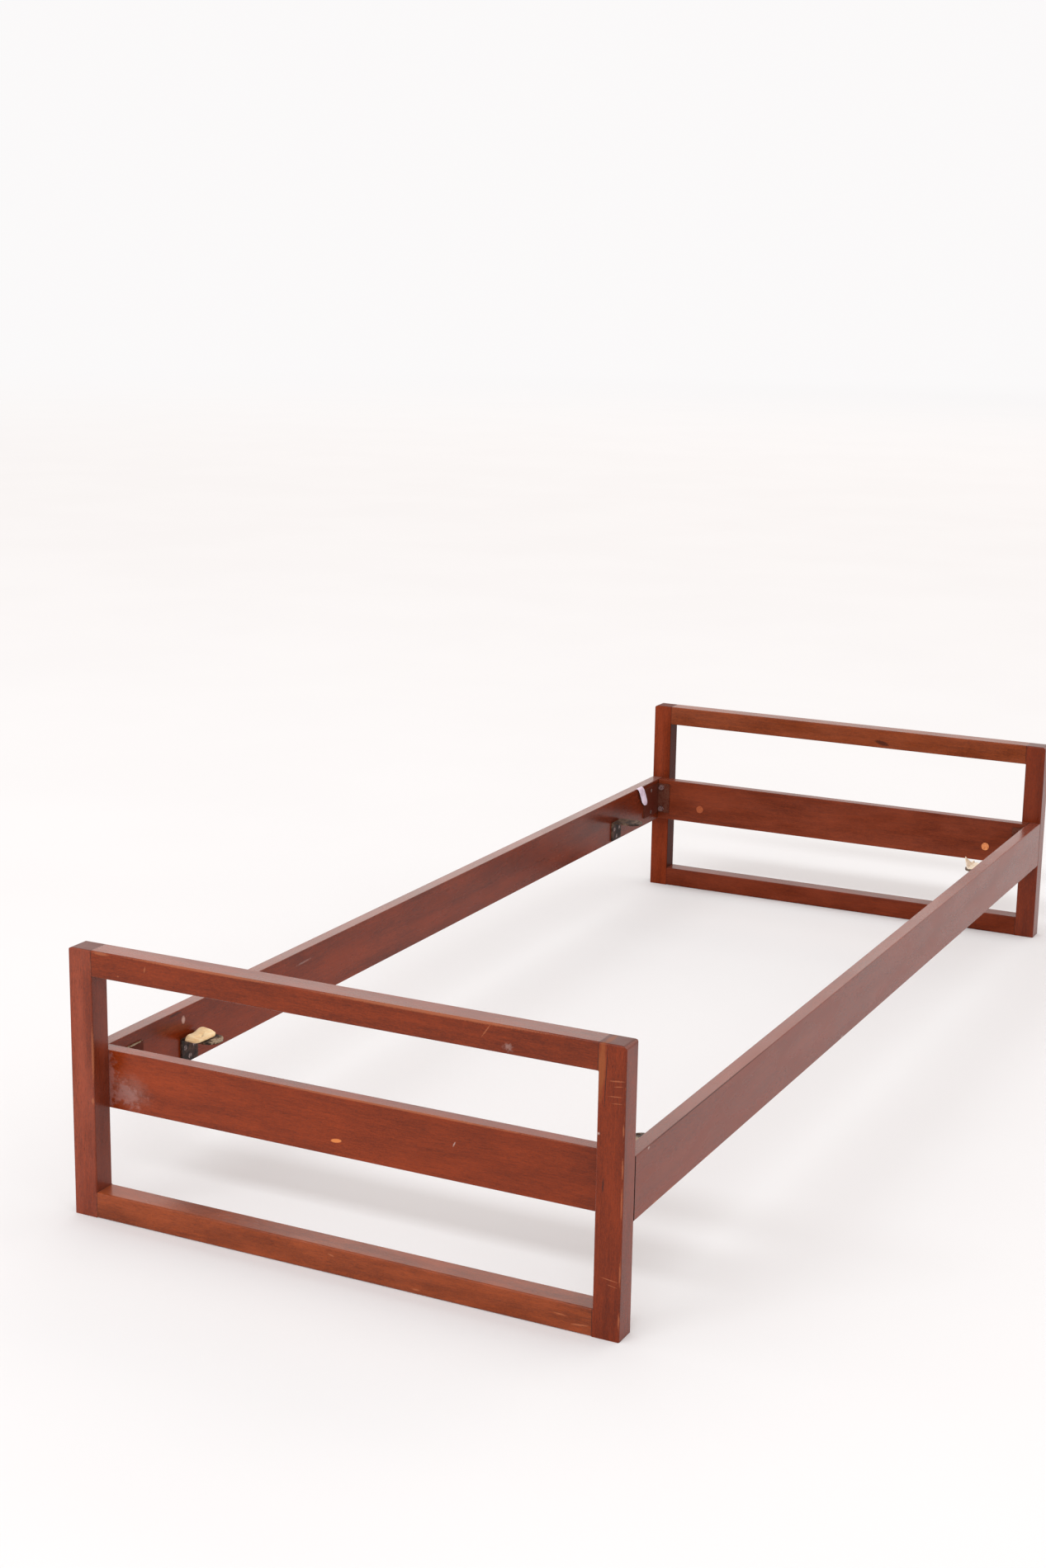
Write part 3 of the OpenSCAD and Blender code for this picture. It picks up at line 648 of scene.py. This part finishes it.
# A painted highlight along the top edges of the irons at the foot, drawn in the colour of bare
# steel
IRON_TOP_HIGHLIGHTS = [
    ((-410.5, -951, 227), (3, 27, 1.7), (0, 0, 0)),
    ((410.5, -951, 227), (3, 27, 1.7), (0, 0, 0)),
]
for end, brown, bare in (("foot", 1.1, IRON_TOP_HIGHLIGHTS), ("head", 1.2, None)):
    iron_paint = painted_steel(
        end + "_iron_paint", bare, wear=0.12, brown=brown, paint=PAINT_RED, gloss=0.04)
    for side in ("left", "right"):
        put(f"{end}_{side}_corner_iron", iron_paint)

# Where the paint has gone from the brackets
BARE_PLACES = {
    "foot_left_bracket": [
        ((-356, -806, 201), (10.5, 26, 4), (0, 0, 0)),
        ((-351.5, -800, 200), (2.5, 9, 4), (0, 0, 0)),
    ],
    "foot_right_bracket": [((366, -868, 201), (10, 10, 2), (0, 0, 0))],
    "head_left_bracket": None,
    "head_right_bracket": None,
}
for name, places in BARE_PLACES.items():
    put(name, painted_steel(name + "_paint", places, wear=0.6, brown=0.5))

bolt_steel = fastener_steel("bolt_steel", linear(140, 108, 106), linear(92, 64, 60), 0.3)
screw_steel = fastener_steel("screw_steel", linear(148, 126, 122), linear(74, 58, 54), 0.3)
for end in ("foot", "head"):
    put(end + "_post_bolts", bolt_steel)
    put(end + "_bolt_washers", bolt_steel)
for side in ("left", "right"):
    put(side + "_iron_screws", screw_steel)
    put(side + "_bracket_screws", screw_steel)


# Leather pads

def leather(name, light, dark, crease_shade=None):
    """Worn pale leather with fine pebbling, and painted shade at the crease places given."""
    g = Graph(name)
    place = g.object_place()
    cloud = g.noise(place, 90.0, 4.0, 0.6).outputs[0]
    inputs = {"Vector": place, "Scale": 850.0}
    pebble = g.node("ShaderNodeTexVoronoi", inputs, feature="DISTANCE_TO_EDGE").outputs[0]
    crease = g.noise(g.mapped(place, (180, 420, 180)), 1.0, 3.0, 0.6).outputs[0]
    colour = g.blend(g.step(cloud, *NOISE_SPREAD), light, dark)
    colour = g.blend(g.step(crease, 0.60, 0.74, 0.0, 0.5), colour, shade(dark, 0.55))
    # Painted shade in the folds at the crease places given
    if crease_shade:
        fold = g.math("MULTIPLY", g.spots(place, crease_shade, 0.4, 300.0, (1.6, 0.1)), 0.45)
        colour = g.blend(fold, colour, shade(dark, 0.35))
    height = g.math("ADD", g.step(pebble, 0.0, 0.12), g.math("MULTIPLY", crease, -0.8))
    shader = g.node("ShaderNodeBsdfPrincipled", {
        "Base Color": colour,
        "Roughness": g.step(cloud, *NOISE_SPREAD, 0.55, 0.72),
        "Normal": g.bump(height, 0.4, 0.0004),
        "Sheen Weight": 0.25,
        "Sheen Roughness": 0.5,
    })
    return g.finish(shader.outputs[0])


def slab(name, surface, size, thickness, edge, counts):
    """A closed soft slab with a rounded rim.

    Surface(u, v) is its middle layer, where u and v run from 0 to 1. Size is the slab's width and
    length, edge the reach of the rounding, and counts the number of steps in u and v.
    """
    across, along = counts

    def spread(number):
        # Points lie closer together near the rim
        return [0.5 - 0.5 * math.cos(math.pi * i / number) for i in range(number + 1)]

    us, vs = spread(across), spread(along)
    step = 1e-3
    vertices, faces = [], []
    index = {}
    for layer in (1, -1):
        for i, u in enumerate(us):
            for j, v in enumerate(vs):
                on_rim = i in (0, across) or j in (0, along)
                if on_rim and layer == -1:
                    index[layer, i, j] = index[1, i, j]
                    continue
                here = surface(u, v)
                du = surface(min(u + step, 1), v) - surface(max(u - step, 0), v)
                dv = surface(u, min(v + step, 1)) - surface(u, max(v - step, 0))
                normal = du.cross(dv).normalized()
                rim = min(u, 1 - u) * size[0], min(v, 1 - v) * size[1]
                inward = min(rim[0] / edge, 1.0), min(rim[1] / edge, 1.0)
                swell = math.sqrt(1 - (1 - inward[0]) ** 2) * math.sqrt(1 - (1 - inward[1]) ** 2)
                index[layer, i, j] = len(vertices)
                vertices.append(here + normal * (layer * swell * thickness / 2))
    for i in range(across):
        for j in range(along):
            corners = ((i, j), (i + 1, j), (i + 1, j + 1), (i, j + 1))
            faces.append([index[1, a, b] for a, b in corners])
            faces.append([index[-1, a, b] for a, b in reversed(corners)])
    mesh = bpy.data.meshes.new(name)
    mesh.from_pydata(vertices, [], faces)
    mesh.update()
    for polygon in mesh.polygons:
        polygon.use_smooth = True
    piece = bpy.data.objects.new(name, mesh)
    bpy.context.scene.collection.objects.link(piece)
    return piece


def corner_mix(corners, u, v):
    """The point at u, v between four corners, given in order round the outline."""
    front = corners[0].lerp(corners[1], u)
    back = corners[3].lerp(corners[2], u)
    return front.lerp(back, v)


def hump(value, middle, width):
    """A smooth bell of height 1."""
    return math.exp(-((value - middle) / width) ** 2)


# The pad at the foot on the left, which lies nearly flat
FLAT_CORNERS = [
    Vector((-396, -840, 0)) * MM,
    Vector((-370, -838, 0)) * MM,
    Vector((-368, -792, 0)) * MM,
    Vector((-404.5, -779, 0)) * MM,
]
FLAT_HEIGHT = 0.20215
# How far the side by the rail and the near edge bow outwards
FLAT_RAIL_BOW = 0.0022
FLAT_NEAR_BOW = 0.0015
# Humps and one dimple: height, middle and width in u, how far the middle moves in u along v, and
# middle and width in v
FLAT_HUMPS = (
    (0.0030, 0.00, 0.45, 0.0, 0.24, 0.17),
    (0.0026, 0.10, 0.50, 0.0, 0.88, 0.20),
    (0.0020, 0.60, 0.30, 0.0, 1.00, 0.30),
    (0.0012, 1.00, 0.25, 0.0, 0.00, 0.30),
    (-0.0024, 0.56, 0.12, 0.0, 0.48, 0.11),
    (0.0012, 0.18, 0.06, 0.5, 0.50, 0.25),
)
# A fold along the near edge: height, middle and width in v
FLAT_FOLD = (0.0020, 0.15, 0.06)
FLAT_UNEVENNESS = 0.0006
# Corners trimmed round: u, v and how far
FLAT_TRIMS = ((1, 1, 0.0030), (0, 1, 0.0024), (1, 0, 0.0016), (0, 0, 0.0012))
TRIM_WIDTH_U = 0.10
TRIM_WIDTH_V = 0.08


def flat_pad_surface(u, v):
    """Middle layer of the flat pad: u runs from the rail to the shelf's tip, v to the head."""
    place = corner_mix(FLAT_CORNERS, u, v)
    place.x -= FLAT_RAIL_BOW * math.sin(math.pi * v) * (1 - u)
    place.y -= FLAT_NEAR_BOW * math.sin(math.pi * u) * (1 - v)
    height = FLAT_HEIGHT
    for rise, middle_u, width_u, lean, middle_v, width_v in FLAT_HUMPS:
        height += rise * hump(u - lean * v, middle_u, width_u) * hump(v, middle_v, width_v)
    fold, middle_v, width_v = FLAT_FOLD
    height += fold * hump(v, middle_v, width_v) * math.sin(math.pi * u)
    height += FLAT_UNEVENNESS * noise.noise(Vector((place.x * 110, place.y * 110, 3.1)))
    middle = corner_mix(FLAT_CORNERS, 0.5, 0.5)
    for corner_u, corner_v, trim in FLAT_TRIMS:
        near = hump(u, corner_u, TRIM_WIDTH_U) * hump(v, corner_v, TRIM_WIDTH_V)
        place -= (place - middle).normalized() * trim * near
    return Vector((place.x, place.y, height))


# The pad at the head on the right, whose long sides turn up, with its sizes in mm
CURLED_HEIGHT = 202.1
CURLED_NEAR_Y = 757.8
CURLED_LENGTH = 51.0
# Where it starts to lie on the shelf, by the shelf's tip, and its width from there along x
CURLED_TIP_X = 360.5
CURLED_LYING_WIDTH = 30.3
# How high the two sides turn up, and how far they lean towards the middle of the bed
EAR_HEIGHT = 24.5
EAR_LEAN = 4.5
RAIL_SIDE_HEIGHT = 18.5
RAIL_SIDE_LEAN = 2.0
CURLED_UNEVENNESS = 0.9
# Shares of the width in u: where the ear ends and where the lying part starts, and the share of
# that part that stays flat
EAR_END = 0.36
LYING_START = 0.30
LYING_FLAT = 0.36


def curled_pad_surface(u, v):
    """Middle layer of the curled pad: u runs from the shelf's tip to the rail, v to the head.

    From the rail it comes down, lies flat to the shelf's tip, and folds up there into an ear that
    is highest at the near edge.
    """
    upright = max(0.0, 1 - u / EAR_END)
    lying = min(max((u - LYING_START) / (1 - LYING_START), 0.0), 1.0)
    rail_side = max(0.0, (lying - LYING_FLAT) / (1 - LYING_FLAT)) ** 2
    fall = 0.5 + 0.5 * math.cos(math.pi * min(v * 1.15, 1.0))
    ear = 0.22 + 0.78 * max(0.0, 1 - v / 0.62) ** 1.15
    x = CURLED_TIP_X + CURLED_LYING_WIDTH * lying
    x -= EAR_LEAN * upright * ear + RAIL_SIDE_LEAN * rail_side * fall
    y = CURLED_NEAR_Y + CURLED_LENGTH * v
    rise = EAR_HEIGHT * upright ** 1.15 * ear + RAIL_SIDE_HEIGHT * rail_side * (0.30 + 0.70 * fall)
    rise += CURLED_UNEVENNESS * noise.noise(Vector((x * 0.130, y * 0.130, 7.7)))
    return Vector((x * MM, y * MM, (CURLED_HEIGHT + rise) * MM))


# Painted shade in a crease of the flat pad, given as the marks on the wood are
PAD_CREASE_SHADE = [((-382, -812, 203), (1.8, 8, 5), (0, 0, 20))]

flat_pad = slab(
    "leather_pad_flat", flat_pad_surface,
    size=(0.038, 0.060), thickness=0.0036, edge=0.0018, counts=(46, 64),
)
curled_pad = slab(
    "leather_pad_curled", curled_pad_surface,
    size=(0.058, 0.051), thickness=0.0030, edge=0.0015, counts=(80, 56),
)
cream = leather("leather_cream", linear(255, 228, 178), linear(246, 202, 140), PAD_CREASE_SHADE)
white = leather("leather_white", linear(250, 234, 214), linear(232, 206, 172))
flat_pad.data.materials.append(cream)
curled_pad.data.materials.append(white)
for piece, node in ((flat_pad, "foot_left_pad"), (curled_pad, "head_right_pad")):
    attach(piece, "root")
    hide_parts(node)


# A bare paper strip that hangs over the left side rail's top edge, near the head

# The point where it bends over the edge, in mm as all its sizes
STRIP_BEND = (-411.5, 901.0, 245.35)
STRIP_TOP_LENGTH = 3.0
STRIP_LENGTH = 46.0
STRIP_HALF_WIDTH = 13.5
# How far it stands off the rail's inner face, over what drop it gets there, and how far its
# middle bulges
STRIP_STAND_OFF = 3.6
STRIP_EASE = 2.5
STRIP_BULGE = 0.9
# How far it hangs askew along y
STRIP_SLANT = 27.0
# The share of its length where its round end starts, and how far that end narrows
STRIP_END_START = 0.72
STRIP_END_TAPER = 0.93


def strip_surface(u, v):
    """Middle layer of the strip: v runs from its end on top of the rail down its inner face."""
    x, y, z = STRIP_BEND
    run = STRIP_LENGTH * v
    down = max(0.0, run - STRIP_TOP_LENGTH)
    if run < STRIP_TOP_LENGTH:
        x -= STRIP_TOP_LENGTH - run
    else:
        x += STRIP_STAND_OFF * (1 - math.exp(-down / STRIP_EASE))
        x += STRIP_BULGE * math.sin(math.pi * u)
        z -= down
    end = max(0.0, v - STRIP_END_START) / (1 - STRIP_END_START)
    half_width = STRIP_HALF_WIDTH * math.sqrt(1 - (STRIP_END_TAPER * end) ** 2)
    y += STRIP_SLANT * down / (STRIP_LENGTH - STRIP_TOP_LENGTH) + (2 * u - 1) * half_width
    return Vector((x, y, z)) * MM


strip = slab(
    "paper_strip", strip_surface,
    size=(0.027, 0.046), thickness=0.0004, edge=0.0003, counts=(18, 40),
)
g = Graph("bare_paper")
paper_place = g.object_place()
fibre = g.noise(g.mapped(paper_place, (500, 300, 700)), 1.0, 3.0, 0.6).outputs[0]
stain = g.noise(paper_place, 60.0, 3.0, 0.5).outputs[0]
paper = g.blend(g.step(stain, 0.35, 0.7), linear(238, 220, 236), linear(208, 186, 202))
paper_shader = g.node("ShaderNodeBsdfPrincipled", {
    "Base Color": paper,
    "Roughness": g.step(fibre, *NOISE_SPREAD, 0.6, 0.8),
    "Normal": g.bump(fibre, 0.3, 0.0001),
})
strip.data.materials.append(g.finish(paper_shader.outputs[0]))
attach(strip, "root")


# Floor, world and lights

floor_mesh = bpy.data.meshes.new("floor")
floor_vertices = [(0.0, 0.0, 0.0)]
for radius in FLOOR_RINGS:
    for i in range(FLOOR_CORNERS):
        angle = 2 * math.pi * i / FLOOR_CORNERS
        floor_vertices.append((radius * math.cos(angle), radius * math.sin(angle), 0.0))
floor_faces = []
for i in range(FLOOR_CORNERS):
    floor_faces.append((0, 1 + i, 1 + (i + 1) % FLOOR_CORNERS))
for ring in range(len(FLOOR_RINGS) - 1):
    inner, outer = 1 + ring * FLOOR_CORNERS, 1 + (ring + 1) * FLOOR_CORNERS
    for i in range(FLOOR_CORNERS):
        after = (i + 1) % FLOOR_CORNERS
        floor_faces.append((inner + i, outer + i, outer + after, inner + after))
floor_mesh.from_pydata(floor_vertices, [], floor_faces)
floor = bpy.data.objects.new("floor", floor_mesh)
floor.location.z = -FLOOR_DROP
bpy.context.scene.collection.objects.link(floor)
g = Graph("floor_paint")
floor_place = g.object_place()
patch = g.noise(floor_place, 1.3, 3.0, 0.5).outputs[0]
floor_colour = g.blend(g.step(patch, *NOISE_SPREAD), FLOOR_PALE, FLOOR_DULL)
floor_shader = g.node("ShaderNodeBsdfDiffuse", {"Color": floor_colour}).outputs[0]
clear = g.node("ShaderNodeBsdfTransparent").outputs[0]
far = g.step(g.length(floor_place), *FLOOR_FADE)
floor_mix = g.node("ShaderNodeMixShader", {0: far, 1: floor_shader, 2: clear}).outputs[0]
floor_mesh.materials.append(g.finish(floor_mix))

world = bpy.data.worlds.new("studio")
bpy.context.scene.world = world
world.use_nodes = True
background = world.node_tree.nodes["Background"]
background.inputs["Color"].default_value = WORLD_COLOUR
background.inputs["Strength"].default_value = WORLD_LIGHT


def panel(name, place, towards, size, power, colour):
    """A large soft light that lies at a place and shines in the given direction."""
    lamp = bpy.data.lights.new(name, "AREA")
    lamp.shape = "RECTANGLE"
    lamp.size, lamp.size_y = size
    lamp.energy = power
    lamp.color = colour
    made = bpy.data.objects.new(name, lamp)
    made.rotation_mode = "QUATERNION"
    made.rotation_quaternion = Vector(towards).to_track_quat("-Z", "Y")
    made.location = place
    bpy.context.scene.collection.objects.link(made)


key_tilt = math.radians(KEY_ELEVATION)
key_towards = Vector((0.0, math.cos(key_tilt), -math.sin(key_tilt)))
panel("key", key_towards * -KEY_DISTANCE, key_towards, KEY_SIZE, KEY_POWER, KEY_COLOUR)
panel("back", BACK_PLACE, (0.0, -1.0, 0.0), BACK_SIZE, BACK_POWER, BACK_COLOUR)

camera_data = bpy.data.cameras.new("camera")
camera_data.sensor_width = SENSOR
camera_data.sensor_fit = "AUTO"
camera_data.lens = CAMERA_FOCAL_PIXELS * SENSOR / PHOTO_HEIGHT
camera_data.clip_end = CLIP_END
camera = bpy.data.objects.new("camera", camera_data)
bpy.context.scene.collection.objects.link(camera)
turn = Matrix((CAMERA_RIGHT, [-v for v in CAMERA_DOWN], [-v for v in CAMERA_FORWARD])).transposed()
camera.matrix_world = Matrix.Translation(CAMERA_PLACE) @ turn.to_4x4()
bpy.context.scene.camera = camera
bpy.context.scene.view_settings.view_transform = "Standard"
